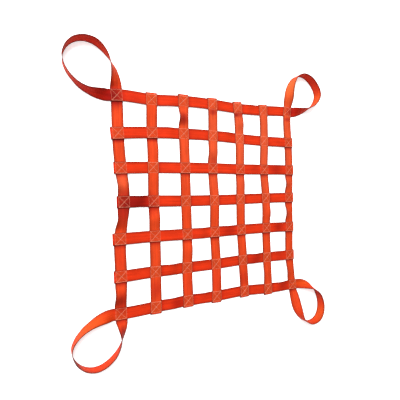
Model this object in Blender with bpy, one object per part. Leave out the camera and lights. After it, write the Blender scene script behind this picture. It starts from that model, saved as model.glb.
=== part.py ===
"""A lifting net of flat webbing, lying on a floor with its four loops standing on edge.

Metres, +Z up. The origin is the net's centre on the floor, +X runs along the net's
across straps and +Y points at its top edge. Ten straps make the inside of the net, and
each end of them is folded round the edge. Four longer straps make the edge: each runs
along half a side, loops out past its corner, and comes back along half the next side.
"""

import bmesh
import bpy
import numpy as np

# The webbing and the grid
WIDTH = 0.0508
THICKNESS = 0.0025
GAP = 0.0003
LINES = 7
SPAN = 0.900
PITCH = SPAN / (LINES - 1)
PLY = THICKNESS + GAP
LAST = LINES - 1
MIDDLE = LAST // 2
# One unit of the flattened view of the photo, on which the net's side is 950 long
UNIT = SPAN / 950

# Sewn ends and joints
SEWN_HALF = WIDTH / 2 + 0.004
FOLD_SLACK = 0.0008
TAIL = 0.021
BUTT_GAP = 0.002
FOLD_STEPS = 6

# How finely a strap is divided along its length
SPAN_STEPS = 6
LOOP_STEP = 0.011
BEARING_LENGTH = 0.030
SHARP_ANGLE = np.radians(50)
MM = 0.001

WEBBING_COLOUR = (0.78, 0.055, 0.018, 1.0)

# Which strap lies on top, from the top row down and from the left column on:
# a = the across strap, d = the down strap, e = an end folded round the edge.
ON_TOP = (
    "aeeeeed",
    "eadddde",
    "edaaaae",
    "eadddde",
    "eaaaaae",
    "eddddde",
    "aeeeeea",
)

# How far each down strap has slid to the right of its grid line, in units.
# Rows 0 to 6 run from the top edge to the bottom edge.
#        row   0   1   2   3   4   5   6
DOWN_DRIFT = (
    (-1, 0, 9, 19, -2, -2, -6),
    (-1, -1, 0, -1, 1, -1, -4),
    (0, -1, 3, 2, 5, 0, 0),
    (0, 0, -5, 0, -2, 1, -2),
    (-10, -1, -1, -4, -3, 2, 6),
    (-6, -2, -6, 1, 0, -1, 0),
    (3, 4, 6, 0, -2, -5, 13),
)

# How far each across strap has slid up from its grid line, in units.
# Columns 0 to 6 run from the left edge to the right edge.
#     column   0   1   2   3   4   5   6
ACROSS_DRIFT = (
    (-4, -8, 1, 1, -5, -2, 7),
    (-11, 1, 5, 5, -2, -6, -7),
    (-4, 0, 1, 1, -1, -1, -1),
    (5, 5, 2, 1, 2, 4, 5),
    (2, 3, 1, 2, 3, 3, 0),
    (-3, -1, 0, 0, 4, 3, 2),
    (-7, -3, 1, -1, 2, -7, -8),
)

# Where a strap humps or tips between two crossings. Span 0 is the first one from the
# top or the left. A positive tip raises the strap's right or upper edge.
# (strap, span, lift in mm, tip in degrees)
WAVES = (
    ("down_0", 2, 6, -8),
    ("down_0", 3, 4, -20),
    ("down_0", 5, 5, -14),
    ("down_1", 1, 3, 4),
    ("down_1", 3, 4, 3),
    ("down_2", 0, 6, -17),
    ("down_2", 4, 3, 4),
    ("down_3", 1, 5, -5),
    ("down_4", 0, 4, 7),
    ("down_4", 2, 4, 0),
    ("down_5", 3, 3, 5),
    ("down_5", 5, 4, -5),
    ("down_6", 2, 4, -10),
    ("down_6", 3, 3, -14),
    ("down_6", 5, 2, -6),
    ("across_0", 1, 4, -5),
    ("across_0", 4, 2, 6),
    ("across_1", 1, 5, 3),
    ("across_1", 3, 2, 5),
    ("across_2", 4, 3, 6),
    ("across_2", 5, 2, 9),
    ("across_3", 0, 3, 16),
    ("across_3", 1, 5, 0),
    ("across_4", 2, 6, 6),
    ("across_4", 3, 2, 8),
    ("across_4", 5, 2, 7),
    ("across_5", 1, 3, 9),
    ("across_5", 4, 3, 9),
    ("across_6", 1, 7, 3),
    ("across_6", 2, 2, 7),
    ("across_6", 5, 4, 9),
)

# The loops, each in the direction its strap travels: (distance on past the corner,
# distance out along the way back, lean), in units, units and degrees. A lean of 0 is
# flat on the floor, 90 stands on edge, and over 90 flares outwards.
LOOPS = {
    "nw": (
        (73, -10, 37),
        (136, 2, 77),
        (195, 49, 93),
        (223, 110, 96),
        (206, 170, 97),
        (151, 208, 98),
        (91, 202, 99),
        (46, 162, 86),
        (14, 101, 50),
        (5, 55, 22),
    ),
    "sw": (
        (58, 3, 25),
        (123, 12, 74),
        (187, 56, 90),
        (214, 127, 93),
        (167, 202, 90),
        (111, 215, 93),
        (70, 194, 88),
        (34, 150, 75),
        (9, 81, 35),
    ),
    "se": (
        (88, 14, 26),
        (158, 48, 74),
        (193, 97, 90),
        (203, 165, 96),
        (179, 217, 98),
        (122, 235, 98),
        (62, 205, 90),
        (31, 135, 46),
        (22, 72, 16),
    ),
    "ne": (
        (52, 8, 12),
        (110, 8, 56),
        (208, 66, 92),
        (214, 122, 94),
        (175, 184, 95),
        (114, 212, 95),
        (48, 170, 86),
        (15, 100, 58),
        (8, 62, 32),
    ),
}

# Each edge strap's crossings as (row, column): in along one side, and out along the next.
# The strap is cut at the middle of each side, and the crossing past that guides its curve.
CORNERS = {
    "nw": (((0, 4), (0, 3), (0, 2), (0, 1), (0, 0)), ((0, 0), (1, 0), (2, 0), (3, 0), (4, 0))),
    "sw": (((2, 0), (3, 0), (4, 0), (5, 0), (6, 0)), ((6, 0), (6, 1), (6, 2), (6, 3), (6, 4))),
    "se": (((6, 2), (6, 3), (6, 4), (6, 5), (6, 6)), ((6, 6), (5, 6), (4, 6), (3, 6), (2, 6))),
    "ne": (((4, 6), (3, 6), (2, 6), (1, 6), (0, 6)), ((0, 6), (0, 5), (0, 4), (0, 3), (0, 2))),
}


def grid_point(row, column):
    """Where two grid lines meet, seen from above."""
    return np.array([(column - MIDDLE) * PITCH, (MIDDLE - row) * PITCH])


def crossing(row, column):
    """Where two straps cross, seen from above."""
    drift = np.array([DOWN_DRIFT[column][row], ACROSS_DRIFT[row][column]])
    return grid_point(row, column) + drift * UNIT


def plies_below(row, column, runs_down):
    """How many layers of webbing lie under a strap at a crossing."""
    top = ON_TOP[row][column]
    if top != "e":
        return int(top == ("d" if runs_down else "a"))
    on_the_edge = column in (0, LAST) if runs_down else row in (0, LAST)
    return 1 if on_the_edge else 2


def plan_curve(knots):
    """A smooth curve through plan points: (length at each knot, function of length)."""
    knots = np.asarray(knots, float)
    chords = np.linalg.norm(np.diff(knots, axis=0), axis=1)
    at = np.concatenate([[0.0], np.cumsum(chords)])
    count = len(knots)
    system = np.zeros((count, count))
    target = np.zeros_like(knots)
    for i in range(count):
        if i > 0:
            system[i, i - 1] += 1 / chords[i - 1]
            system[i, i] += 2 / chords[i - 1]
            target[i] += 3 * (knots[i] - knots[i - 1]) / chords[i - 1] ** 2
        if i < count - 1:
            system[i, i + 1] += 1 / chords[i]
            system[i, i] += 2 / chords[i]
            target[i] += 3 * (knots[i + 1] - knots[i]) / chords[i] ** 2
    slopes = np.linalg.solve(system, target)

    def point(length):
        i = int(np.clip(np.searchsorted(at, length, side="right") - 1, 0, count - 2))
        t = (length - at[i]) / chords[i]
        if t < 0 or t > 1:
            end = count - 1 if t > 1 else 0
            return knots[end] + (length - at[end]) * slopes[end], slopes[end]
        rise = 2 * t**3 - 3 * t**2
        spot = (
            (1 + rise) * knots[i]
            - rise * knots[i + 1]
            + chords[i] * (t * (1 - t) ** 2 * slopes[i] - t**2 * (1 - t) * slopes[i + 1])
        )
        heading = (
            6 * t * (1 - t) * (knots[i + 1] - knots[i]) / chords[i]
            + (1 - t) * (1 - 3 * t) * slopes[i]
            + t * (3 * t - 2) * slopes[i + 1]
        )
        return spot, heading

    return at, point


def profile(knots):
    """A function of length through (length, value) knots that never overshoots them."""
    at, value = (np.array(column, float) for column in zip(*sorted(knots)))
    steps = np.diff(at)
    rates = np.diff(value) / steps
    slopes = np.zeros(len(at))
    for i in range(1, len(at) - 1):
        if rates[i - 1] * rates[i] > 0:
            slopes[i] = 2 * rates[i - 1] * rates[i] / (rates[i - 1] + rates[i])

    def read(length):
        i = int(np.clip(np.searchsorted(at, length, side="right") - 1, 0, len(steps) - 1))
        t = np.clip((length - at[i]) / steps[i], 0, 1)
        rise = t * t * (3 - 2 * t)
        bend = steps[i] * (t * (1 - t) ** 2 * slopes[i] - t * t * (1 - t) * slopes[i + 1])
        return value[i] + rise * (value[i + 1] - value[i]) + bend

    return read


def strap_name(first, second):
    """The strap that joins two neighbouring crossings, and the number of that span."""
    if first[0] == second[0]:
        return f"across_{first[0]}", min(first[1], second[1])
    return f"down_{first[1]}", min(first[0], second[0])


def flat_run(route, at):
    """Lift and tip knots of a strap along a route of crossings at known lengths."""
    lifts, tips, waves = [], [], {row[:2]: row[2:] for row in WAVES}
    for i, (row, column) in enumerate(route):
        other = route[i + 1] if i + 1 < len(route) else route[i - 1]
        height = PLY * plies_below(row, column, runs_down=other[1] == column)
        for side in (-SEWN_HALF, SEWN_HALF):
            lifts.append((at[i] + side, height))
            tips.append((at[i] + side, 0.0))
        if i + 1 == len(route):
            continue
        lift, tip = waves.get(strap_name((row, column), other), (0, 0))
        if lift or tip:
            step = (other[1] - column, row - other[0])
            raises_left = 1 if (-step[1], step[0]) in ((1, 0), (0, 1)) else -1
            middle = (at[i] + at[i + 1]) / 2
            lifts.append((middle, lift * MM))
            tips.append((middle, np.radians(tip) * raises_left))
    return lifts, tips


def run_lengths(at):
    """The lengths at which a strap is divided along a run of crossings."""
    lengths = []
    for first, second in zip(at[:-1], at[1:]):
        inner = np.linspace(first + SEWN_HALF, second - SEWN_HALF, SPAN_STEPS + 1)
        lengths += [first - SEWN_HALF, *inner, second + SEWN_HALF]
    return sorted(set(np.round(lengths, 7)))


def station(spot, heading, lift, tip):
    """A cross-section of the strap: its centre, its direction across, and its face normal."""
    along = np.array([*heading, 0.0]) / np.linalg.norm(heading)
    left = np.array([-along[1], along[0], 0.0])
    up = np.array([0.0, 0.0, 1.0])
    height = lift + WIDTH / 2 * abs(np.sin(tip)) + THICKNESS / 2 * abs(np.cos(tip))
    across = left * np.cos(tip) + up * np.sin(tip)
    normal = up * np.cos(tip) - left * np.sin(tip)
    return np.array([*spot, height]), across, normal


def pitched(stations):
    """Turns each face normal square to the strap's climb."""
    centres = np.array([centre for centre, _, _ in stations])
    along = np.gradient(centres, axis=0)
    turned = []
    for (centre, across, _), direction in zip(stations, along):
        normal = np.cross(direction, across)
        turned.append((centre, across, normal / np.linalg.norm(normal)))
    return turned


def folded_end(end, outward, tail_length):
    """The fold round the edge strap and the tail sewn under it, from the run's end on."""
    centre, across, _ = end
    along = np.array([outward[0], outward[1], 0.0]) / np.linalg.norm(outward)
    up = np.array([0.0, 0.0, 1.0])
    pivot = centre - up * PLY
    stations = []
    for angle in np.linspace(0, np.pi, FOLD_STEPS + 1)[1:]:
        arm = up * np.cos(angle) + along * np.sin(angle)
        stations.append((pivot + arm * PLY, across, arm))
    stations.append((pivot - up * PLY - along * tail_length, across, -up))
    return stations


def fold_reach(end, runs_down, heading):
    """How far past the middle of the edge strap an end folds, to clear it where they skew."""
    step = np.array((0, 1) if runs_down else (1, 0))
    edge = crossing(*(np.array(end) + step)) - crossing(*(np.array(end) - step))
    skew = abs(edge.dot(heading)) / (np.linalg.norm(edge) * np.linalg.norm(heading))
    return WIDTH / 2 * (1 + skew) / np.sqrt(1 - skew**2) + FOLD_SLACK


def inner_strap(route):
    """Cross-sections of a strap that crosses the net and folds round both edges."""
    at, point = plan_curve([crossing(*spot) for spot in route])
    lifts, tips = flat_run(route, at)
    lift, tip = profile(lifts), profile(tips)
    runs_down = route[0][1] == route[1][1]
    start_reach = fold_reach(route[0], runs_down, point(0.0)[1])
    finish_reach = fold_reach(route[-1], runs_down, point(at[-1])[1])
    lengths = [-start_reach, *run_lengths(at)[1:-1], at[-1] + finish_reach]
    run = pitched([station(*point(s), lift(s), tip(s)) for s in lengths])
    start = folded_end(run[0], -point(lengths[0])[1], start_reach + TAIL)
    finish = folded_end(run[-1], point(lengths[-1])[1], finish_reach + TAIL)
    return start[::-1] + run + finish


def loop_strap(corner):
    """Cross-sections of an edge strap: along a side, round its loop, along the next side."""
    incoming, outgoing = CORNERS[corner]
    origin = grid_point(*incoming[-1])
    onward = (origin - grid_point(*incoming[-2])) / PITCH
    outward = (origin - grid_point(*outgoing[1])) / PITCH
    loop = [
        origin + onward * ahead * UNIT + outward * aside * UNIT
        for ahead, aside, _ in LOOPS[corner]
    ]
    knots = [crossing(*spot) for spot in incoming] + loop
    knots += [crossing(*spot) for spot in outgoing]
    at, point = plan_curve(knots)
    first, second = len(incoming), len(incoming) + len(loop)
    at_in, at_loop, at_out = at[1:first], at[first:second], at[second:-1]

    lifts, tips = [], []
    for route, lengths in ((incoming[1:], at_in), (outgoing[:-1], at_out)):
        run_lifts, run_tips = flat_run(route, lengths)
        lifts += run_lifts
        tips += run_tips
    for length, (_, _, lean) in zip(at_loop, LOOPS[corner]):
        lifts.append((length, 0.0))
        tips.append((length, -np.radians(lean)))
    lift, tip = profile(lifts), profile(tips)

    loop_start, loop_end = at_in[-1] + SEWN_HALF, at_out[0] - SEWN_HALF
    crown = (loop_start + loop_end) / 2
    steps = int(round((crown - loop_start) / LOOP_STEP))
    first_cut, last_cut = at_in[0] + BUTT_GAP / 2, at_out[-1] - BUTT_GAP / 2
    to_crown = [first_cut]
    to_crown += [s for s in run_lengths(at_in)[:-1] if s > first_cut]
    to_crown += list(np.linspace(loop_start, crown - BEARING_LENGTH / 2, steps))
    from_crown = list(np.linspace(crown + BEARING_LENGTH / 2, loop_end, steps))
    from_crown += [s for s in run_lengths(at_out)[1:] if s < last_cut]
    from_crown.append(last_cut)
    stations = pitched([station(*point(s), lift(s), tip(s)) for s in to_crown + from_crown])
    return level_bearing(stations, len(to_crown) - 1)


def level_bearing(stations, i):
    """Makes the stretch from station i to the next one a flat face for a hook to bear on."""
    (first, across_a, _), (second, across_b, _) = stations[i], stations[i + 1]
    height = (first[2] + second[2]) / 2
    first, second = (np.array([spot[0], spot[1], height]) for spot in (first, second))
    along = (second - first) / np.linalg.norm(second - first)
    across = across_a + across_b
    across -= along * across.dot(along)
    across /= np.linalg.norm(across)
    normal = np.cross(along, across)
    return stations[:i] + [(first, across, normal), (second, across, normal)] + stations[i + 2 :]


def webbing_material():
    material = bpy.data.materials.new("webbing")
    material.use_nodes = True
    shader = material.node_tree.nodes["Principled BSDF"]
    shader.inputs["Base Color"].default_value = WEBBING_COLOUR
    shader.inputs["Roughness"].default_value = 0.7
    shader.inputs["Metallic"].default_value = 0.0
    return material


def make_strap(name, stations, columns, material):
    """Builds a strap's closed solid from its cross-sections, each split into columns."""
    shape = bmesh.new()
    rings = []
    for centre, across, normal in stations:
        edges = np.linspace(-WIDTH / 2, WIDTH / 2, columns + 1)
        top = [centre + across * e + normal * THICKNESS / 2 for e in edges]
        under = [centre + across * e - normal * THICKNESS / 2 for e in edges]
        rings.append([shape.verts.new(p) for p in top + under[::-1]])
    around = len(rings[0])
    for near, far in zip(rings[:-1], rings[1:]):
        for k in range(around):
            after = (k + 1) % around
            if k <= columns:
                shape.faces.new((near[k], near[after], far[after], far[k]))
            else:
                shape.faces.new((near[after], far[after], far[k], near[k]))
    for ring, facing_out in ((rings[0], True), (rings[-1], False)):
        for k in range(columns):
            corners = (ring[k], ring[around - 1 - k], ring[around - 2 - k], ring[k + 1])
            shape.faces.new(corners if facing_out else corners[::-1])
    bmesh.ops.triangulate(shape, faces=shape.faces[:], quad_method="FIXED")
    bmesh.ops.recalc_face_normals(shape, faces=shape.faces[:])
    mesh = bpy.data.meshes.new(name)
    shape.to_mesh(mesh)
    shape.free()
    mesh.shade_smooth()
    mesh.set_sharp_from_angle(angle=SHARP_ANGLE)
    mesh.materials.append(material)
    strap = bpy.data.objects.new(name, mesh)
    bpy.context.collection.objects.link(strap)
    return strap


for leftover in list(bpy.data.objects):
    bpy.data.objects.remove(leftover)

webbing = webbing_material()
for line in range(1, LAST):
    down = inner_strap([(row, line) for row in range(LINES)])
    make_strap(f"down_{line}", down, 1, webbing)
    across = inner_strap([(line, column) for column in range(LINES)])
    make_strap(f"across_{line}", across, 1, webbing)
for corner in LOOPS:
    make_strap(f"loop_strap_{corner}", loop_strap(corner), 2, webbing)
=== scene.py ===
"""The looks of a lifting net of flat orange webbing that lies on a pale floor."""

import bpy
import numpy as np
from mathutils import Matrix, Vector


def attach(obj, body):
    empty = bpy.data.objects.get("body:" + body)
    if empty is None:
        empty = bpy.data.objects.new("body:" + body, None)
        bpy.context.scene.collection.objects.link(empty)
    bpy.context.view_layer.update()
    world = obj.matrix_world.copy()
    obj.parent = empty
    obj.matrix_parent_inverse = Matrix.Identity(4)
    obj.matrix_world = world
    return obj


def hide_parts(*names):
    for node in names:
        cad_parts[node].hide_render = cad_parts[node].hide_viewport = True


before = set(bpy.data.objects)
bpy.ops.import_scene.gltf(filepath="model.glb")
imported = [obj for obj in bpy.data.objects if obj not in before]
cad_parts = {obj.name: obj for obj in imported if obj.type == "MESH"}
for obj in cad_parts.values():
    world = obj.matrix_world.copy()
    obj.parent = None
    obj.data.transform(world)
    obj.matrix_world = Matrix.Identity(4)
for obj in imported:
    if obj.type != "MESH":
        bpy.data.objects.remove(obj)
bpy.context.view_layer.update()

# Camera
# The photograph looks down on the net from beyond its left edge, with the net's top edge
# at the top of the picture. No shift and no blur: the whole net is sharp.

CAMERA_PLACE = Vector((-0.8229, 0.0166, 1.4549))
CAMERA_TARGET = Vector((-0.0751, 0.0038, 0.0))
PICTURE_UP = Vector((0.0276, 1.0, 0.0))
LENS_MM = 31.85
SENSOR_MM = 36.0
SIGHT_LIMIT = 50.0

ahead = (CAMERA_TARGET - CAMERA_PLACE).normalized()
rightward = ahead.cross(PICTURE_UP).normalized()
upward = rightward.cross(ahead)
camera = bpy.data.objects.new("camera", bpy.data.cameras.new("camera"))
camera.data.lens = LENS_MM
camera.data.sensor_width = SENSOR_MM
camera.data.clip_end = SIGHT_LIMIT
turn = Matrix((rightward, upward, -ahead)).transposed()
camera.matrix_world = Matrix.Translation(CAMERA_PLACE) @ turn.to_4x4()
bpy.context.collection.objects.link(camera)
bpy.context.scene.camera = camera

# Floor and light
# A plain white floor that glows a little, as a light table does, under a white surround.
# One broad soft light stands past the net's top edge, and a weaker one by the camera.

WHITE = (1.0, 1.0, 1.0, 1.0)
FLOOR_COLOUR = (0.93, 0.93, 0.93, 1.0)
FLOOR_ROUGHNESS = 0.9
FLOOR_GLOW = 0.50
FLOOR_HALF = 12.0
# Just under the stitches on the net's underside
FLOOR_LEVEL = -0.0009
# Each light's name, place, size in metres and watts
LIGHTS = (
    ("key_light", (-2.4, 4.4, 5.0), 4.2, 1068.0),
    ("fill_light", (-2.6, -0.6, 2.6), 2.0, 12.0),
)
SURROUND = 0.50

floor_mesh = bpy.data.meshes.new("floor")
floor_mesh.from_pydata(
    [(x * FLOOR_HALF, y * FLOOR_HALF, FLOOR_LEVEL) for x, y in ((-1, -1), (1, -1), (1, 1), (-1, 1))],
    [],
    [(0, 1, 2, 3)],
)
floor = bpy.data.objects.new("floor", floor_mesh)
bpy.context.collection.objects.link(floor)
floor_material = bpy.data.materials.new("floor")
floor_material.use_nodes = True
floor_shader = floor_material.node_tree.nodes["Principled BSDF"]
floor_shader.inputs["Base Color"].default_value = FLOOR_COLOUR
floor_shader.inputs["Roughness"].default_value = FLOOR_ROUGHNESS
floor_shader.inputs["Emission Color"].default_value = WHITE
floor_shader.inputs["Emission Strength"].default_value = FLOOR_GLOW
floor_mesh.materials.append(floor_material)

for light_name, light_place, light_size, watts in LIGHTS:
    lamp = bpy.data.lights.new(light_name, "AREA")
    lamp.size = light_size
    lamp.energy = watts
    light = bpy.data.objects.new(light_name, lamp)
    light.location = light_place
    light.rotation_euler = (-Vector(light_place)).to_track_quat("-Z", "Y").to_euler()
    bpy.context.collection.objects.link(light)
world = bpy.data.worlds.new("white_surround")
world.use_nodes = True
surround = world.node_tree.nodes["Background"]
surround.inputs["Color"].default_value = WHITE
surround.inputs["Strength"].default_value = SURROUND
bpy.context.scene.world = world
bpy.context.scene.view_settings.view_transform = "Standard"

# Straps that run down the net
# Five lengths of woven polyester webbing, two inches wide, from the top edge to the
# bottom edge. Each end is folded back under the edge strap, and its tail is sewn there.

WIDTH = 0.0508
THICKNESS = 0.0025
# From one layer of webbing to the next
PLY = 0.0028
LINES = 7
LAST = LINES - 1
MIDDLE = LAST // 2
SPAN = 0.900
PITCH = SPAN / LAST
# A strap stays flat this far past each sewn square
SEWN_MARGIN = 0.004
SEWN_HALF = WIDTH / 2 + SEWN_MARGIN
# How far a folded end stands clear of the edge strap, and how far its tail runs back
# under it, past its middle
FOLD_SLACK = 0.0008
TAIL = 0.021
MM = 0.001
# Drifts, painted spots and loops are told in units of a view from straight above, on which the
# middles of two opposite edge straps are this many units apart
SPAN_UNITS = 950
UNIT = SPAN / SPAN_UNITS

# Which strap lies on top, from the top row down and from the left column on:
# a = the across strap, d = the down strap, e = an end folded round the edge
ON_TOP = (
    "aeeeeed",
    "eadddde",
    "edaaaae",
    "eadddde",
    "eaaaaae",
    "eddddde",
    "aeeeeea",
)
# How far each down strap has slid to the right of its grid line, in units
#        row   0   1   2   3   4   5   6
DOWN_DRIFT = (
    (-1, 0, 9, 19, -2, -2, -6),
    (-1, -1, 0, -1, 1, -1, -4),
    (0, -1, 3, 2, 5, 0, 0),
    (0, 0, -5, 0, -2, 1, -2),
    (-10, -1, -1, -4, -3, 2, 6),
    (-6, -2, -6, 1, 0, -1, 0),
    (3, 4, 6, 0, -2, -5, 13),
)
# How far each across strap has slid from its grid line towards the top edge, in units
#     column   0   1   2   3   4   5   6
ACROSS_DRIFT = (
    (-4, -8, 1, 1, -5, -2, 7),
    (-11, 1, 5, 5, -2, -6, -7),
    (-4, 0, 1, 1, -1, -1, -1),
    (5, 5, 2, 1, 2, 4, 5),
    (2, 3, 1, 2, 3, 3, 0),
    (-3, -1, 0, 0, 4, 3, 2),
    (-7, -3, 1, -1, 2, -7, -8),
)
# Where a strap humps or tips between two crossings. Span 0 is the first one from the
# top or the left. A positive tip raises the strap's right or upper edge.
# (strap, span, lift in mm, tip in degrees)
WAVES = (
    ("down_0", 2, 6, -8),
    ("down_0", 3, 4, -20),
    ("down_0", 5, 5, -14),
    ("down_1", 1, 3, 4),
    ("down_1", 3, 4, 3),
    ("down_2", 0, 6, -17),
    ("down_2", 4, 3, 4),
    ("down_3", 1, 5, -5),
    ("down_4", 0, 4, 7),
    ("down_4", 2, 4, 0),
    ("down_5", 3, 3, 5),
    ("down_5", 5, 4, -5),
    ("down_6", 2, 4, -10),
    ("down_6", 3, 3, -14),
    ("down_6", 5, 2, -6),
    ("across_0", 1, 4, -5),
    ("across_0", 4, 2, 6),
    ("across_1", 1, 5, 3),
    ("across_1", 3, 2, 5),
    ("across_2", 4, 3, 6),
    ("across_2", 5, 2, 9),
    ("across_3", 0, 3, 16),
    ("across_3", 1, 5, 0),
    ("across_4", 2, 6, 6),
    ("across_4", 3, 2, 8),
    ("across_4", 5, 2, 7),
    ("across_5", 1, 3, 9),
    ("across_5", 4, 3, 9),
    ("across_6", 1, 7, 3),
    ("across_6", 2, 2, 7),
    ("across_6", 5, 4, 9),
)

# Where the webbing is painted darker, in units on the plan: mostly painted shade where a loop's
# face or a tipped span turns from the light, and elsewhere plain darker patches.
# (x, y, reach along x, reach along y, share of the light that it takes)
PAINTED_DARK_SPOTS = (
    (-560, 470, 110, 90, 0.12),
    (-484, 462, 56, 62, 0.48),
    (-414, -6, 140, 90, 0.58),
    (-468, -72, 45, 70, 0.22),
    (-396, 462, 50, 40, 0.16),
    (396, -318, 50, 34, 0.12),
    (-476, -436, 45, 62, 0.38),
    (-162, 392, 34, 38, 0.40),
    (0, 438, 30, 22, 0.40),
    (158, 440, 30, 22, 0.35),
    (136, 434, 16, 14, 0.55),
    (478, 438, 32, 16, 0.35),
    (0, 192, 30, 30, 0.20),
    (240, 160, 60, 20, 0.12),
    (79, -156, 62, 34, 0.25),
    (396, -158, 50, 34, 0.25),
    (238, -314, 60, 34, 0.28),
    (382, 158, 55, 34, 0.26),
    (-215, -478, 46, 34, 0.32),
    (-318, -400, 34, 50, 0.20),
    (420, -480, 55, 34, 0.25),
    (160, -404, 34, 44, 0.16),
    (-520, 466, 60, 50, 0.26),
    (512, 484, 56, 40, 0.42),
    (645, -548, 36, 42, 0.25),
    (-480, -572, 26, 46, 0.50),
    (-610, -500, 120, 60, 0.07),
    (-590, -680, 120, 50, 0.05),
    (480, 610, 50, 90, 0.05),
    (660, 530, 70, 80, 0.06),
    (620, -690, 110, 70, 0.10),
    (-640, 515, 60, 110, 0.28),
    (-698, 600, 50, 70, 0.28),
    (-489, -602, 32, 36, 0.45),
    (-680, -642, 40, 48, 0.60),
)
# Where the webbing is painted a deeper red, as the rows above, with the share of green that it takes:
# mostly painted shade on the loops' faces that turn from the light. A share below nothing paints a
# place paler and yellower, mostly a painted highlight on the loops' lit faces.
PAINTED_HUE_SPOTS = (
    (-570, 475, 150, 110, 0.45),
    (-600, 670, 170, 110, 0.42),
    (640, 660, 120, 110, 0.30),
    (560, 490, 90, 60, 0.25),
    (660, -570, 70, 110, 0.25),
    (520, -680, 60, 90, 0.20),
    (-490, -610, 40, 90, 0.25),
    (-610, -500, 130, 70, -1.15),
    (-570, -690, 120, 50, -0.35),
    (480, 610, 50, 110, -0.65),
    (675, 530, 60, 90, -0.75),
    (560, -480, 80, 40, -0.95),
    (640, -690, 110, 90, -0.75),
    (-60, -410, 420, 120, 0.16),
    (-475, -237, 50, 90, 0.20),
)
# Where the straps that run down are painted paler, a painted sheen, as the rows above.
SHEEN_SPOTS = (
    (230, 310, 560, 430, 1.0),
    (-470, 90, 60, 80, 0.9),
    (495, 650, 60, 90, 0.7),
)

# How fast a painted spot or a band of painted shadow fades towards its rim
PAINT_FADE = 1.5

# The mesh: cells of one size over a crossing, twice as long between crossings. Cells
# shorter than the least step are left out, and lengths a hair apart are the same.
CELL = 0.0028
FINE_CELLS = 10
LEAST_STEP = 0.0006
HAIR = 1e-9
# The sewn square, from its middle to its outer seams
BOX_CELLS = 8
BOX_HALF = BOX_CELLS * CELL
EDGE_RADIUS = THICKNESS / 2
EDGE_ANGLES = (45, 0, -45)
EDGE_STEPS = len(EDGE_ANGLES)
CREASE_ANGLE = 60
FOLD_STEPS = 12
TAIL_STEPS = 9
# How wide and deep the seams sink, and how high the webbing rises and puckers between
SEAM_REACH = 0.8 * CELL
STITCH_DIP = 0.0005
PILLOW = 0.0003
PUCKER = 0.00025
# The waves of a strap's free edges, which die out over the last stretch before a seam
RIPPLE = 0.0005
RIPPLE_LENGTHS = (0.043, 0.071, 0.118)
RIPPLE_FADE = 0.020
# Painted shadow on a strap just past where it comes out from under another, and painted shade on the
# folded ends
SHADE_DEPTH = 0.52
SHADOW_REACH = 0.020
FOLD_START_SHADE = (0.2, 0.6)
# The share of it to the left and right of a crossing on the plan, and below and above it
SHADOW_SIDES = ((0.15, 0.45), (1.0, 0.0))
# The crossings with more or less of it than the others
SHADOW_AT = {(1, 0): 1.75, (1, 1): 1.5, (3, 0): 0.1, (2, 6): 1.25, (4, 3): 1.2, (5, 6): 0.7}
# So that no two straps have their streaks at the same places
WEAVE_SHIFT = 3.0

UP = np.array([0.0, 0.0, 1.0])
luck = np.random.default_rng(7)
# The place, heading and height of each sewn square, for the stitching
sewn = {}


def grid_point(row, column):
    """Where two grid lines meet, seen from above."""
    return np.array([(column - MIDDLE) * PITCH, (MIDDLE - row) * PITCH])


def crossing(row, column):
    """Where two straps cross, seen from above."""
    drift = np.array([DOWN_DRIFT[column][row], ACROSS_DRIFT[row][column]])
    return grid_point(row, column) + drift * UNIT


def plies_below(row, column, runs_down):
    """How many layers of webbing lie under a strap at a crossing."""
    top = ON_TOP[row][column]
    if top != "e":
        return int(top == ("d" if runs_down else "a"))
    on_the_edge = column in (0, LAST) if runs_down else row in (0, LAST)
    return 1 if on_the_edge else 2


def plan_curve(knots):
    """A smooth curve through plan points: the length at each, and a reader of places."""
    knots = np.asarray(knots, float)
    chords = np.linalg.norm(np.diff(knots, axis=0), axis=1)
    at = np.concatenate([[0.0], np.cumsum(chords)])
    count = len(knots)
    system, target = np.zeros((count, count)), np.zeros_like(knots)
    for i, chord in enumerate(chords):
        pull = 3 * (knots[i + 1] - knots[i]) / chord**2
        for near, far in ((i, i + 1), (i + 1, i)):
            system[near, near] += 2 / chord
            system[near, far] += 1 / chord
            target[near] += pull
    slopes = np.linalg.solve(system, target)

    def read(lengths):
        lengths = np.asarray(lengths, float)
        inside = np.clip(lengths, at[0], at[-1])
        i = np.clip(np.searchsorted(at, inside, side="right") - 1, 0, count - 2)
        chord = chords[i][:, None]
        t = (inside - at[i])[:, None] / chord
        rise = t * t * (3 - 2 * t)
        spots = (1 - rise) * knots[i] + rise * knots[i + 1]
        spots += chord * (t * (1 - t) ** 2 * slopes[i] - t * t * (1 - t) * slopes[i + 1])
        headings = 6 * t * (1 - t) * (knots[i + 1] - knots[i]) / chord
        headings += (1 - t) * (1 - 3 * t) * slopes[i] + t * (3 * t - 2) * slopes[i + 1]
        spots += (lengths - inside)[:, None] * headings
        return spots, headings / np.linalg.norm(headings, axis=1)[:, None]

    return at, read


def profile(knots, lengths):
    """Values at these lengths, through (length, value) knots, that never overshoot them."""
    at, value = (np.array(column, float) for column in zip(*sorted(knots)))
    steps = np.diff(at)
    rates = np.diff(value) / steps
    slopes = np.zeros(len(at))
    both = rates[:-1] * rates[1:]
    same = both > 0
    slopes[1:-1][same] = 2 * both[same] / (rates[:-1] + rates[1:])[same]
    i = np.clip(np.searchsorted(at, lengths, side="right") - 1, 0, len(steps) - 1)
    t = np.clip((lengths - at[i]) / steps[i], 0, 1)
    bend = steps[i] * (t * (1 - t) ** 2 * slopes[i] - t * t * (1 - t) * slopes[i + 1])
    return value[i] + t * t * (3 - 2 * t) * (value[i + 1] - value[i]) + bend


def strap_name(first, second):
    """The strap that joins two neighbouring crossings, and the number of that span."""
    if first[0] == second[0]:
        return f"across_{first[0]}", min(first[1], second[1])
    return f"down_{first[1]}", min(first[0], second[0])


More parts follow.
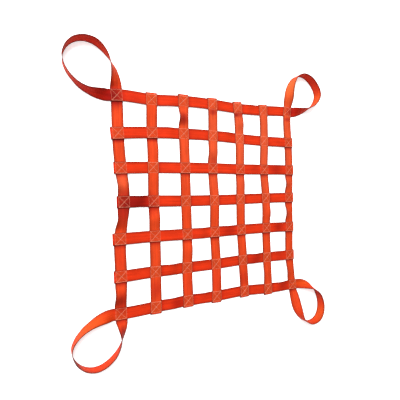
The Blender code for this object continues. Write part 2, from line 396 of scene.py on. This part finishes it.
def flat_run(route, at):
    """Lift and tip knots of a strap along a route of crossings at known lengths."""
    lifts, tips, waves = [], [], {row[:2]: row[2:] for row in WAVES}
    for i, (row, column) in enumerate(route):
        other = route[i + 1] if i + 1 < len(route) else route[i - 1]
        height = PLY * plies_below(row, column, runs_down=other[1] == column)
        for side in (-SEWN_HALF, SEWN_HALF):
            lifts.append((at[i] + side, height))
            tips.append((at[i] + side, 0.0))
        if i + 1 == len(route):
            continue
        lift, tip = waves.get(strap_name((row, column), other), (0, 0))
        if lift or tip:
            step = (other[1] - column, row - other[0])
            raises_left = 1 if (-step[1], step[0]) in ((1, 0), (0, 1)) else -1
            middle = (at[i] + at[i + 1]) / 2
            lifts.append((middle, lift * MM))
            tips.append((middle, np.radians(tip) * raises_left))
    return lifts, tips


def sample_lengths(crossings_at, first, last):
    """Lengths at which a strap is divided: finely over its crossings, coarser between."""
    over = np.arange(-FINE_CELLS, FINE_CELLS + 1) * CELL
    found = [first, last]
    for at in crossings_at:
        found += list(at + over)
    sewn_from = np.asarray(crossings_at) + over[0]
    sewn_to = np.asarray(crossings_at) + over[-1]
    stops = sorted([first, last, *sewn_from, *sewn_to])
    for near, far in zip(stops[:-1], stops[1:]):
        free = np.all((far <= sewn_from + HAIR) | (near >= sewn_to - HAIR))
        steps = int(np.ceil((far - near) / (2 * CELL)))
        if free and steps > 1:
            found += list(np.linspace(near, far, steps + 1)[1:-1])
    found = np.array(sorted(x for x in found if first <= x <= last))
    return found[np.concatenate([[True], np.diff(found) > LEAST_STEP])]


def cross_sections(read, lengths, lift, tip):
    """The strap's centres, its directions across, and its face normals."""
    spots, headings = read(lengths)
    left = np.stack([-headings[:, 1], headings[:, 0], np.zeros(len(lengths))], axis=1)
    sine, cosine = np.sin(tip)[:, None], np.cos(tip)[:, None]
    height = lift + (WIDTH / 2 * abs(sine) + THICKNESS / 2 * abs(cosine))[:, 0]
    centres = np.column_stack([spots, height])
    across = left * cosine + UP * sine
    normals = np.cross(np.gradient(centres, lengths, axis=0), across)
    return centres, across, normals / np.linalg.norm(normals, axis=1)[:, None]


def stitch_relief(along, aside):
    """How far a sewn square rises or sinks at these places, and which lengths it takes up."""
    reach = np.maximum(abs(along), abs(aside))
    to_line = np.minimum(abs(reach - BOX_HALF), abs(abs(along) - abs(aside)) / np.sqrt(2))
    dip = np.clip(1 - to_line / SEAM_REACH, 0, 1)
    square, stretch = (np.clip((BOX_HALF - x) / CELL + 0.5, 0, 1) for x in (reach, abs(along)))
    puckers = luck.uniform(-PUCKER, PUCKER, reach.shape) * (1 - dip)
    return square * (PILLOW * (1 - dip) + puckers - STITCH_DIP * dip), stretch


def patchiness(points, spots):
    """How much of a table's painted spots the webbing has at these points, from 0 to 1."""
    untouched = np.ones(points.shape[:-1])
    for x, y, reach_x, reach_y, share in spots:
        away = (points[..., 0] / UNIT - x) ** 2 / reach_x**2
        away = away + (points[..., 1] / UNIT - y) ** 2 / reach_y**2
        untouched *= 1 - share * (1 - np.clip(away, 0, 1)) ** PAINT_FADE
    return 1 - untouched


def ripples(lengths, free):
    """Slow, shallow waves of a strap's two edges where it isn't sewn down."""
    waves = []
    for _ in range(2):
        wave = np.zeros(len(lengths))
        for wavelength in RIPPLE_LENGTHS:
            wave += np.sin(2 * np.pi * (lengths / wavelength + luck.random()))
        waves.append((1.0 + wave / 2) * RIPPLE * free)
    return waves


def ring_outline():
    """The strap's section as offsets across and along its normal, once round."""
    inner = np.arange(-BOX_CELLS, BOX_CELLS + 1) * CELL
    flat = np.concatenate([[EDGE_RADIUS - WIDTH / 2], inner, [WIDTH / 2 - EDGE_RADIUS]])
    turn = np.radians(EDGE_ANGLES)
    side = WIDTH / 2 - EDGE_RADIUS + EDGE_RADIUS * np.cos(turn)
    rise = EDGE_RADIUS * np.sin(turn)
    half = np.full(len(flat), EDGE_RADIUS)
    across = np.concatenate([flat, side, flat[::-1], -side])
    along_normal = np.concatenate([half, rise, -half, -rise])
    return across, along_normal, len(flat)


def build_strap(name, index, parts, material):
    """A strap from its blocks: centres, across, normals, relief above and under, sewing, painted shade."""
    blocks = [np.concatenate(part) for part in zip(*parts)]
    centres, across, normals, above, under, sewing, painted_shade = blocks
    offset, rise, top = ring_outline()
    under_side = slice(top + EDGE_STEPS, 2 * top + EDGE_STEPS)
    relief = np.zeros((len(centres), len(offset)))
    relief[:, :top] = above
    relief[:, under_side] = under[:, ::-1]
    patches = np.zeros_like(relief)
    patches[:, :top] = sewing
    patches[:, under_side] = sewing[:, ::-1]
    points = centres[:, None] + across[:, None] * offset[None, :, None]
    points = points + normals[:, None] * (rise[None, :] + relief)[:, :, None]
    rings, around = points.shape[:2]
    run = np.concatenate([[0.0], np.cumsum(np.linalg.norm(np.diff(centres, axis=0), axis=1))])

    first = np.arange(rings - 1)[:, None] * around + np.arange(around)[None, :]
    after = np.arange(rings - 1)[:, None] * around + np.roll(np.arange(around), -1)[None, :]
    sides = np.stack([first + around, after + around, after, first], axis=2).reshape(-1, 4)
    faces = sides.tolist()
    last = (rings - 1) * around
    for k in range(top - 1):
        under_k = under_side.stop - 1 - k
        faces.append((k + 1, under_k - 1, under_k, k))
        faces.append((last + k, last + under_k, last + under_k - 1, last + k + 1))
    right = (top - 1, *range(under_side.start, top - 1, -1))
    left = (0, *range(around - 1, under_side.stop - 2, -1))
    for corner in (right, left):
        faces += [corner[::-1], tuple(last + i for i in corner)]

    mesh = bpy.data.meshes.new(name)
    mesh.from_pydata(points.reshape(-1, 3).tolist(), [], faces)
    corners = np.empty(len(mesh.loops), np.int32)
    mesh.loops.foreach_get("vertex_index", corners)
    along = run[corners // around] + WEAVE_SHIFT * index
    aside = offset[corners % around] + WIDTH / 2
    weave = mesh.uv_layers.new(name="weave")
    weave.uv.foreach_set("vector", np.column_stack([along, aside]).astype(np.float32).ravel())
    heading = np.gradient(centres, axis=0)
    down_share = (heading[:, 1] ** 2 / np.sum(heading**2, axis=1))[:, None]
    shares = {
        "runs_down": np.repeat(down_share, around, axis=1),
        "sewn": patches,
        # This share holds painted shade: the dark spots, and the painted shadow beside crossings and on
        # the folded ends
        "painted_dark": 1 - (1 - patchiness(points, PAINTED_DARK_SPOTS)) * (1 - painted_shade[:, None]),
        # Painted hue: a deeper red for painted shade, a yellower one for painted highlights
        "painted_hue": patchiness(points, PAINTED_HUE_SPOTS),
        "painted_sheen": patchiness(points, SHEEN_SPOTS) * down_share,
    }
    for layer_name, share in shares.items():
        layer = mesh.attributes.new(layer_name, "FLOAT", "POINT")
        layer.data.foreach_set("value", share.ravel().astype(np.float32))
    mesh.shade_smooth()
    mesh.set_sharp_from_angle(angle=np.radians(CREASE_ANGLE))
    mesh.materials.append(material)
    strap = bpy.data.objects.new(name + "_webbing", mesh)
    bpy.context.collection.objects.link(strap)
    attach(strap, "root")
    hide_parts(name)


def run_block(route, crossings_at, read, lengths, lift, tip, free):
    """One block for build_strap over a run of crossings, with its sewn squares."""
    centres, across, normals = cross_sections(read, lengths, lift, tip)
    offset, _, top = ring_outline()
    columns = offset[:top]
    above = np.zeros((len(lengths), top))
    under = np.zeros_like(above)
    sewing = np.zeros_like(above)
    painted_shade = np.zeros(len(lengths))
    for i, (row, column) in enumerate(route):
        other = route[i + 1] if i + 1 < len(route) else route[i - 1]
        runs_down = other[1] == column
        level = plies_below(row, column, runs_down)
        along = (lengths - crossings_at[i])[:, None]
        square, stretch = stitch_relief(along, columns[None, :])
        sewing = np.maximum(sewing, stretch)
        if ON_TOP[row][column] == "e" and level == 2 or ON_TOP[row][column] == "ad"[runs_down]:
            above += square
            spot, heading = read([crossings_at[i]])
            sewn[row, column] = (spot[0], heading[0], level * PLY + THICKNESS)
        if level == 0:
            under -= square
        # Painted shadow: a dark band on this strap just past the edge of the one on top, deepest on the
        # side away from the light
        if ON_TOP[row][column] == "da"[runs_down] or level == 1 and ON_TOP[row][column] == "e":
            spot = crossing(row, column)
            axis = int(runs_down)
            sides = np.where(centres[:, axis] < spot[axis], *SHADOW_SIDES[axis])
            share = SHADE_DEPTH * SHADOW_AT.get((row, column), 1.0) * sides
            band = np.clip(1 - (abs(along[:, 0]) - WIDTH / 2) / SHADOW_REACH, 0, 1)
            painted_shade = np.maximum(painted_shade, band**PAINT_FADE * share)
    left, right = ripples(lengths, free)
    sway = np.clip(-columns / (WIDTH / 2), 0, 1) ** 2 * right[:, None]
    sway = sway + np.clip(columns / (WIDTH / 2), 0, 1) ** 2 * left[:, None]
    return centres, across, normals, above + sway, under + sway, sewing, painted_shade


def fold_block(end, outward, tail_length):
    """The fold round the edge strap and the tail under it, from the run's end on."""
    centre, across, _ = end
    along = np.array([outward[0], outward[1], 0.0])
    pivot = centre - UP * PLY
    angles = np.linspace(0, np.pi, FOLD_STEPS + 1)[1:, None]
    arms = UP * np.cos(angles) + along * np.sin(angles)
    steps = np.linspace(0, tail_length, TAIL_STEPS + 1)[1:, None]
    centres = np.concatenate([pivot + arms * PLY, pivot - UP * PLY - along * steps])
    normals = np.concatenate([arms, np.tile(-UP, (len(steps), 1))])
    flat = np.zeros((len(centres), ring_outline()[2]))
    at_right_or_bottom = outward[0] > 0.5 or outward[1] < -0.5
    # Painted shade on the fold, deeper on the right and bottom ends, which face away from the light
    painted_shade = np.full(len(centres), SHADE_DEPTH if at_right_or_bottom else SHADE_DEPTH / 2)
    painted_shade[: len(FOLD_START_SHADE)] *= FOLD_START_SHADE
    return centres, np.tile(across, (len(centres), 1)), normals, flat, flat, flat, painted_shade


def fold_reach(end, runs_down, heading):
    """How far past the middle of the edge strap an end folds, to clear it where they skew."""
    step = np.array((0, 1) if runs_down else (1, 0))
    edge = crossing(*(np.array(end) + step)) - crossing(*(np.array(end) - step))
    skew = abs(edge.dot(heading)) / np.linalg.norm(edge)
    return WIDTH / 2 * (1 + skew) / np.sqrt(1 - skew**2) + FOLD_SLACK


def free_share(lengths, crossings_at):
    """0 over a crossing, rising to 1 between two crossings."""
    distance = np.min(abs(lengths[:, None] - np.asarray(crossings_at)[None, :]), axis=1)
    share = np.clip((distance - SEWN_HALF) / RIPPLE_FADE, 0, 1)
    return share * share * (3 - 2 * share)


def inner_strap(name, index, route, material):
    """A strap that crosses the net and folds round both edges."""
    at, read = plan_curve([crossing(*spot) for spot in route])
    runs_down = route[0][1] == route[1][1]
    _, headings = read(at[[0, -1]])
    reaches = [fold_reach(end, runs_down, way) for end, way in zip((route[0], route[-1]), headings)]
    lengths = sample_lengths(at, -reaches[0], at[-1] + reaches[1])
    lifts, tips = flat_run(route, at)
    lift, tip = profile(lifts, lengths), profile(tips, lengths)
    run = run_block(route, at, read, lengths, lift, tip, free_share(lengths, at))
    start = fold_block([part[0] for part in run[:3]], -headings[0], reaches[0] + TAIL)
    finish = fold_block([part[-1] for part in run[:3]], headings[1], reaches[1] + TAIL)
    start = tuple(part[::-1] for part in start)
    build_strap(name, index, [start, run, finish], material)


class Socket:
    """A shader socket whose node maths reads as plain expressions."""

    def __init__(self, tree, link=None):
        self.tree, self.link = tree, link

    def node(self, kind, settings, inputs, output=0):
        """A node of this kind: settings first, then its sockets' values or links."""
        made = self.tree.nodes.new(kind)
        for key, value in settings.items():
            setattr(made, key, value)
        for key, value in inputs.items():
            if isinstance(value, Socket):
                self.tree.links.new(value.link, made.inputs[key])
            else:
                made.inputs[key].default_value = value
        return Socket(self.tree, made.outputs[output])

    def math(self, operation, first, second=0.0):
        return self.node("ShaderNodeMath", {"operation": operation}, {0: first, 1: second})

    def __add__(self, other):
        return self.math("ADD", self, other)

    def __sub__(self, other):
        return self.math("SUBTRACT", self, other)

    def __rsub__(self, other):
        return self.math("SUBTRACT", other, self)

    def __mul__(self, other):
        return self.math("MULTIPLY", self, other)

    def __truediv__(self, other):
        return self.math("DIVIDE", self, other)

    def __pow__(self, other):
        return self.math("POWER", self, other)

    def __mod__(self, other):
        return self.math("FLOORED_MODULO", self, other)

    def __abs__(self):
        return self.math("ABSOLUTE", self)

    __radd__ = __add__
    __rmul__ = __mul__

    def floor(self):
        return self.math("FLOOR", self)

    def least(self, other):
        return self.math("MINIMUM", self, other)

    def most(self, other):
        return self.math("MAXIMUM", self, other)

    def stored(self, layer_name):
        """A value from 0 to 1 that the mesh holds at its points."""
        return self.node("ShaderNodeAttribute", {"attribute_name": layer_name}, {}, "Fac")

    def noise(self, x, y, detail):
        """Soft noise from 0 to 1 over two coordinates."""
        place = self.node("ShaderNodeCombineXYZ", {}, {0: x, 1: y})
        inputs = {"Vector": place, "Scale": 1.0, "Detail": detail, "Roughness": 0.55}
        return self.node("ShaderNodeTexNoise", {"noise_dimensions": "2D"}, inputs)

    def mixed(self, factor, first, second, blend="MIX"):
        """Two colours mixed by a factor."""
        settings = {"data_type": "RGBA", "blend_type": blend}
        return self.node("ShaderNodeMix", settings, {0: factor, 6: first, 7: second}, 2)

    def feeds(self, socket):
        """Link this to a shader's own socket."""
        self.tree.links.new(self.link, socket)


# The webbing's finish: warp yarns 1.25 mm wide that rise and dive between the wefts,
# every other one half a step on, with slow streaks along the strap and darker edges.
YARN = 0.00125
WEFT_STEP = 0.0042
# The fine twist of a yarn's own fibres: turns in a metre, slant and height
TWIST_TURNS = 1500.0
TWIST_SLANT = 0.9
TWIST_RISE = 0.10
# How much of a yarn's height stays where it dives under a weft
DIVE = 0.35
# Lit and shaded copies of one orange: the straps that run down are painted lighter, a painted sheen, and
# those across redder, painted shade
SHEENED_ORANGE_DOWN = (0.57, 0.048, 0.0075, 1.0)
ORANGE_ACROSS = (0.555, 0.026, 0.0024, 1.0)
SHEEN_ORANGE = (0.58, 0.080, 0.024, 1.0)
WORN_SHADED_ORANGE = (0.40, 0.048, 0.010, 1.0)
YARN_GAP_SHADE = (0.22, 0.008, 0.002, 1.0)
# How much of the yarns' colour shows at the bottom of the gaps between them, which are painted dark
# as painted shade
GAP_SHOWS = 0.25
# How dull and dark a sewn square is, partly wear and partly painted shade of its puckers and threads,
# and how much less so under the painted sheen
SEWN_WEAR_AND_SHADE = 0.7
SHEEN_CLEARS = 0.4
# The dark line of the selvedge and the slow shade beside it, both weaker where sewn down
SELVEDGE = 0.0038
SELVEDGE_FADE = 0.0016
SELVEDGE_SHADE = 0.5
SELVEDGE_SEWN = 0.35
RIM = 0.014
RIM_SHADE = 0.42
RIM_SEWN = 0.7
# Uneven dye: waves in a metre along the strap and across it, detail, share
EVEN_SHADE = 0.96
STREAKS = ((8.0, 520.0, 1.0, 0.40), (5.0, 150.0, 2.0, 0.50), (20.0, 40.0, 3.0, 0.30))
# The painted darkening takes more of the green and blue than of the red, so darkened webbing turns brown
DARK_ON_GREEN = 2.2
DARK_ON_BLUE = 1.5
HUE_ON_BLUE = 0.6
ROUGH_GAP = 0.80
ROUGH_CROWN = 0.66
BUMP_STRENGTH = 0.55
BUMP_HEIGHT = 0.0003
SHEEN = 0.04
SHEEN_ROUGHNESS = 0.45
SHEEN_TINT = (1.0, 0.36, 0.18, 1.0)
SPECULAR = 0.08


def webbing_finish():
    """Woven orange yarns with uneven dye, painted shade and shadow, painted sheen and a painted hue."""
    material = bpy.data.materials.new("orange_webbing")
    material.use_nodes = True
    shader = material.node_tree.nodes["Principled BSDF"]
    start = Socket(material.node_tree)
    place = start.node("ShaderNodeUVMap", {"uv_map": "weave"}, {})
    along = start.node("ShaderNodeSeparateXYZ", {}, {0: place}, "X")
    aside = start.node("ShaderNodeSeparateXYZ", {}, {0: place}, "Y")
    sewing = start.stored("sewn")
    painted_sheen = start.stored("painted_sheen")

    column = (aside / YARN).floor()
    across_yarn = aside / YARN - column
    step = along / WEFT_STEP + (column % 2.0) * 0.5
    along_float = step - step.floor()
    crown = 1.0 - abs(2.0 * across_yarn - 1.0) ** 2.0
    swell = 1.0 - abs(2.0 * along_float - 1.0) ** 3.0
    twist = ((along * TWIST_TURNS + across_yarn * TWIST_SLANT) % 1.0 - 0.5) * TWIST_RISE
    relief = crown**0.6 * (DIVE + (1 - DIVE) * swell) + twist

    to_edge = aside.least(WIDTH - aside)
    edge = ((SELVEDGE - to_edge) / SELVEDGE_FADE).least(1.0).most(0.0)
    edge_shade = (SELVEDGE_SHADE - SELVEDGE_SEWN * sewing) * edge
    rim = ((RIM - to_edge) / RIM).least(1.0).most(0.0) * (1.0 - RIM_SEWN * sewing)
    uneven = EVEN_SHADE
    for along_waves, aside_waves, detail, share in STREAKS:
        uneven += share * (start.noise(along * along_waves, aside * aside_waves, detail) - 0.5)
    shade = uneven * (1.0 - RIM_SHADE * rim) * (1.0 - edge_shade)

    # Painted light: each strap takes the lit or the shaded copy of the orange by its heading
    orange = start.mixed(start.stored("runs_down"), ORANGE_ACROSS, SHEENED_ORANGE_DOWN)
    # Painted sheen: a paler orange on the straps that run down
    orange = start.mixed(painted_sheen, orange, SHEEN_ORANGE)
    # Sewn squares painted duller and darker: partly wear, partly painted shade
    orange = start.mixed(sewing * (SEWN_WEAR_AND_SHADE - SHEEN_CLEARS * painted_sheen), orange, WORN_SHADED_ORANGE)
    # Painted shade at the bottom of the gaps between the yarns
    orange = start.mixed(relief.least(1.0) * (1 - GAP_SHOWS) + GAP_SHOWS, YARN_GAP_SHADE, orange)
    # Painted shade and shadow, with the other darker patches, taken off the webbing's colour
    untouched = 1.0 - start.stored("painted_dark")
    unpainted_hue = 1.0 - start.stored("painted_hue")
    green = untouched**DARK_ON_GREEN * unpainted_hue
    blue = untouched**DARK_ON_BLUE * unpainted_hue**HUE_ON_BLUE
    channel_shade = {0: shade * untouched, 1: shade * green, 2: shade * blue}
    tint = start.node("ShaderNodeCombineColor", {}, channel_shade)
    start.mixed(1.0, orange, tint, "MULTIPLY").feeds(shader.inputs["Base Color"])
    (ROUGH_GAP - (ROUGH_GAP - ROUGH_CROWN) * crown).feeds(shader.inputs["Roughness"])
    yarns = {"Strength": BUMP_STRENGTH, "Distance": BUMP_HEIGHT, "Height": relief}
    start.node("ShaderNodeBump", {}, yarns).feeds(shader.inputs["Normal"])
    shader.inputs["Sheen Weight"].default_value = SHEEN
    shader.inputs["Sheen Roughness"].default_value = SHEEN_ROUGHNESS
    shader.inputs["Sheen Tint"].default_value = SHEEN_TINT
    shader.inputs["Specular IOR Level"].default_value = SPECULAR
    return material


webbing = webbing_finish()
for line in range(1, LAST):
    inner_strap(f"down_{line}", line, [(row, line) for row in range(LINES)], webbing)

# Straps that run across the net
# Five more lengths of the same webbing, from the left edge to the right edge, with the
# same folded and sewn ends. Their colour is painted a little redder than the down straps', painted shade
# for how the light falls across their yarns.

for line in range(1, LAST):
    inner_strap(f"across_{line}", LAST + line, [(line, column) for column in range(LINES)], webbing)

# Edge straps and their loops
# Four longer straps make the net's edge. Each runs along half a side, leaves the corner,
# turns onto its edge, loops round clockwise and comes back flat along the next side.

# Between the cut ends of two edge straps, inside a folded end
BUTT_GAP = 0.002
# Each loop in the direction its strap travels: how far it is past the corner on its way
# out, how far past it on its way back, both in units, and its lean in degrees. A lean of
# 90 stands on edge.
LOOPS = {
    "nw": (
        (73, -10, 37),
        (136, 2, 77),
        (195, 49, 93),
        (223, 110, 96),
        (206, 170, 97),
        (151, 208, 98),
        (91, 202, 99),
        (46, 162, 86),
        (14, 101, 50),
        (5, 55, 22),
    ),
    "sw": (
        (58, 3, 25),
        (123, 12, 74),
        (187, 56, 90),
        (214, 127, 93),
        (167, 202, 90),
        (111, 215, 93),
        (70, 194, 88),
        (34, 150, 75),
        (9, 81, 35),
    ),
    "se": (
        (88, 14, 26),
        (158, 48, 74),
        (193, 97, 90),
        (203, 165, 96),
        (179, 217, 98),
        (122, 235, 98),
        (62, 205, 90),
        (31, 135, 46),
        (22, 72, 16),
    ),
    "ne": (
        (52, 8, 12),
        (110, 8, 56),
        (208, 66, 92),
        (214, 122, 94),
        (175, 184, 95),
        (114, 212, 95),
        (48, 170, 86),
        (15, 100, 58),
        (8, 62, 32),
    ),
}
# Each edge strap's crossings as (row, column): in along one side, and out along the next.
# The strap is cut at the middle of each side, and the crossing past that guides its curve.
CORNERS = {
    "nw": (((0, 4), (0, 3), (0, 2), (0, 1), (0, 0)), ((0, 0), (1, 0), (2, 0), (3, 0), (4, 0))),
    "sw": (((2, 0), (3, 0), (4, 0), (5, 0), (6, 0)), ((6, 0), (6, 1), (6, 2), (6, 3), (6, 4))),
    "se": (((6, 2), (6, 3), (6, 4), (6, 5), (6, 6)), ((6, 6), (5, 6), (4, 6), (3, 6), (2, 6))),
    "ne": (((4, 6), (3, 6), (2, 6), (1, 6), (0, 6)), ((0, 6), (0, 5), (0, 4), (0, 3), (0, 2))),
}


def loop_strap(corner, index, material):
    """An edge strap: along a side, round its loop, and along the next side."""
    incoming, outgoing = CORNERS[corner]
    origin = grid_point(*incoming[-1])
    onward = (origin - grid_point(*incoming[-2])) / PITCH
    outward = (origin - grid_point(*outgoing[1])) / PITCH
    loop = [origin + (onward * on + outward * out) * UNIT for on, out, _ in LOOPS[corner]]
    knots = [crossing(*spot) for spot in incoming] + loop + [crossing(*spot) for spot in outgoing]
    at, read = plan_curve(knots)
    first, second = len(incoming), len(incoming) + len(loop)
    at_in, at_loop, at_out = at[1:first], at[first:second], at[second:-1]

    lifts, tips = [], []
    for route, lengths in ((incoming[1:], at_in), (outgoing[:-1], at_out)):
        run_lifts, run_tips = flat_run(route, lengths)
        lifts += run_lifts
        tips += run_tips
    for length, (_, _, lean) in zip(at_loop, LOOPS[corner]):
        lifts.append((length, 0.0))
        tips.append((length, -np.radians(lean)))

    crossings_at = [*at_in, *at_out]
    route = [*incoming[1:], *outgoing[:-1]]
    lengths = sample_lengths(crossings_at, at_in[0] + BUTT_GAP / 2, at_out[-1] - BUTT_GAP / 2)
    lift, tip = profile(lifts, lengths), profile(tips, lengths)
    free = free_share(lengths, crossings_at)
    run = loop_block(route, len(at_in), crossings_at, read, lengths, lift, tip, free)
    build_strap(f"loop_strap_{corner}", index, [run], material)


def loop_block(route, turn_back, crossings_at, read, lengths, lift, tip, free):
    """As run_block, for a strap whose route turns a corner after its loop."""
    halves = ((route[:turn_back], crossings_at[:turn_back]), (route[turn_back:], crossings_at[turn_back:]))
    blocks = [run_block(part, at, read, lengths, lift, tip, free) for part, at in halves]
    later = lengths > (crossings_at[turn_back - 1] + crossings_at[turn_back]) / 2
    reliefs = zip(blocks[0][3:6], blocks[1][3:6])
    mixed = [np.where(later[:, None], second, first) for first, second in reliefs]
    return *blocks[0][:3], *mixed, np.where(later, blocks[1][6], blocks[0][6])


for index, corner in enumerate(LOOPS):
    loop_strap(corner, 2 * LAST + index, webbing)

# Stitching
# At every crossing a thick pale thread sews a square with both diagonals through all the
# layers. Each stitch is a short length of thread that dives into the webbing at both ends.

STITCH_STEP = 0.0050
STITCH_LENGTH = 0.0043
STITCH_LENGTHS = (0.93, 1.04)
STITCH_STRAY = 0.00012
STITCH_YAW = 0.05
STITCH_RISE = 0.00035
STITCH_DIVE = 0.0007
STITCH_RINGS = 5
THREAD_HALF = 0.00055
THREAD_SIDES = 5
# A thread's width and height against its round section, as it lies pulled down
THREAD_WIDE = 1.15
THREAD_HIGH = 0.8
THREAD_TAPER = 0.45
# Two of the lines are sewn a second time on the upper side, this far beside the first
SECOND_ROW = 0.0013
SECOND_ROWS = 2
THREAD_COLOUR = (0.70, 0.29, 0.18, 1.0)
THREAD_SHADE = (0.52, 0.13, 0.07, 1.0)
THREAD_GRAIN = 900.0
THREAD_BUMP = 0.4
THREAD_BUMP_HEIGHT = 0.0002
THREAD_ROUGHNESS = 0.55


def seam_lines():
    """The sewn square's runs from end to end, and last the ones that are sewn again."""
    half = BOX_HALF
    square = [(-half, -half), (half, -half), (half, half), (-half, half), (-half, -half)]
    lines = list(zip(square[:-1], square[1:]))
    lines += [((-half, -half), (half, half)), ((half, -half), (-half, half))]
    lines.append(((-half, -half + SECOND_ROW), (half, -half + SECOND_ROW)))
    shift = SECOND_ROW / np.sqrt(2)
    lines.append(((-half + 3 * shift, -half + shift), (half - shift, half - 3 * shift)))
    return [(np.array(start), np.array(end)) for start, end in lines]


def stitches_of(spot, heading, height, side):
    """Points and faces of one crossing's stitches, on its upper or its under side."""
    ahead = np.array([heading[0], heading[1], 0.0])
    aside = np.array([-heading[1], heading[0], 0.0])
    # The diagonal that is sewn twice rises to the right on the plan at every crossing
    if ahead[0] + aside[0] < 0:
        ahead, aside = -ahead, -aside
    if (ahead + aside)[:2].prod() < 0:
        ahead, aside = -aside, ahead
    rings = np.linspace(-0.5, 0.5, STITCH_RINGS)
    bulge = np.cos(np.pi * rings)
    turn = np.arange(THREAD_SIDES) * 2 * np.pi / THREAD_SIDES
    points, faces = [], []
    lines = seam_lines() if side > 0 else seam_lines()[:-SECOND_ROWS]
    for start, end in lines:
        run = np.linalg.norm(end - start)
        way = (end - start) / run
        over = np.array([-way[1], way[0]])
        count = int(run // STITCH_STEP)
        for k in range(count):
            middle = start + way * run * (k + 0.5) / count + over * luck.normal(0, STITCH_STRAY)
            long = STITCH_LENGTH * luck.uniform(*STITCH_LENGTHS)
            yaw = luck.normal(0, STITCH_YAW)
            lie = way * np.cos(yaw) + over * np.sin(yaw)
            base = len(points)
            for place, swell in zip(rings, bulge):
                centre = middle + lie * long * place
                lift = -STITCH_DIVE + (STITCH_DIVE + STITCH_RISE) * swell**0.6
                radius = THREAD_HALF * (THREAD_TAPER + (1 - THREAD_TAPER) * swell**0.5)
                for angle in turn:
                    flat = centre + over * radius * THREAD_WIDE * np.cos(angle)
                    rise = height + side * (lift + THREAD_HIGH * radius * np.sin(angle))
                    points.append(np.array([*spot, 0.0]) + ahead * flat[0] + aside * flat[1] + UP * rise)
            for ring in range(STITCH_RINGS - 1):
                for corner in range(THREAD_SIDES):
                    here = base + ring * THREAD_SIDES + corner
                    beside = base + ring * THREAD_SIDES + (corner + 1) % THREAD_SIDES
                    quad = (here, beside, beside + THREAD_SIDES, here + THREAD_SIDES)
                    faces.append(quad if side > 0 else quad[::-1])
            first = tuple(range(base, base + THREAD_SIDES))
            last = tuple(i + (STITCH_RINGS - 1) * THREAD_SIDES for i in first)
            faces += [first[::-1], last] if side > 0 else [first, last[::-1]]
    return points, faces


def thread_finish():
    """Pale sewing thread with a fine grain."""
    material = bpy.data.materials.new("pale_thread")
    material.use_nodes = True
    shader = material.node_tree.nodes["Principled BSDF"]
    start = Socket(material.node_tree)
    place = start.node("ShaderNodeTexCoord", {}, {}, "Object")
    grain = start.node("ShaderNodeTexNoise", {}, {"Vector": place, "Scale": THREAD_GRAIN, "Detail": 2.0})
    start.mixed(grain, THREAD_SHADE, THREAD_COLOUR).feeds(shader.inputs["Base Color"])
    fibres = {"Strength": THREAD_BUMP, "Distance": THREAD_BUMP_HEIGHT, "Height": grain}
    start.node("ShaderNodeBump", {}, fibres).feeds(shader.inputs["Normal"])
    shader.inputs["Roughness"].default_value = THREAD_ROUGHNESS
    return material


thread = thread_finish()
for row in range(LINES):
    points, faces = [], []
    for column in range(LINES):
        spot, heading, height = sewn[row, column]
        for level, side in ((height, 1), (0.0, -1)):
            more_points, more_faces = stitches_of(spot, heading, level, side)
            faces += [tuple(i + len(points) for i in face) for face in more_faces]
            points += more_points
    mesh = bpy.data.meshes.new(f"stitching_row_{row}")
    mesh.from_pydata(points, [], faces)
    mesh.shade_smooth()
    mesh.materials.append(thread)
    stitching = bpy.data.objects.new(f"stitching_row_{row}", mesh)
    bpy.context.collection.objects.link(stitching)
    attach(stitching, "root")
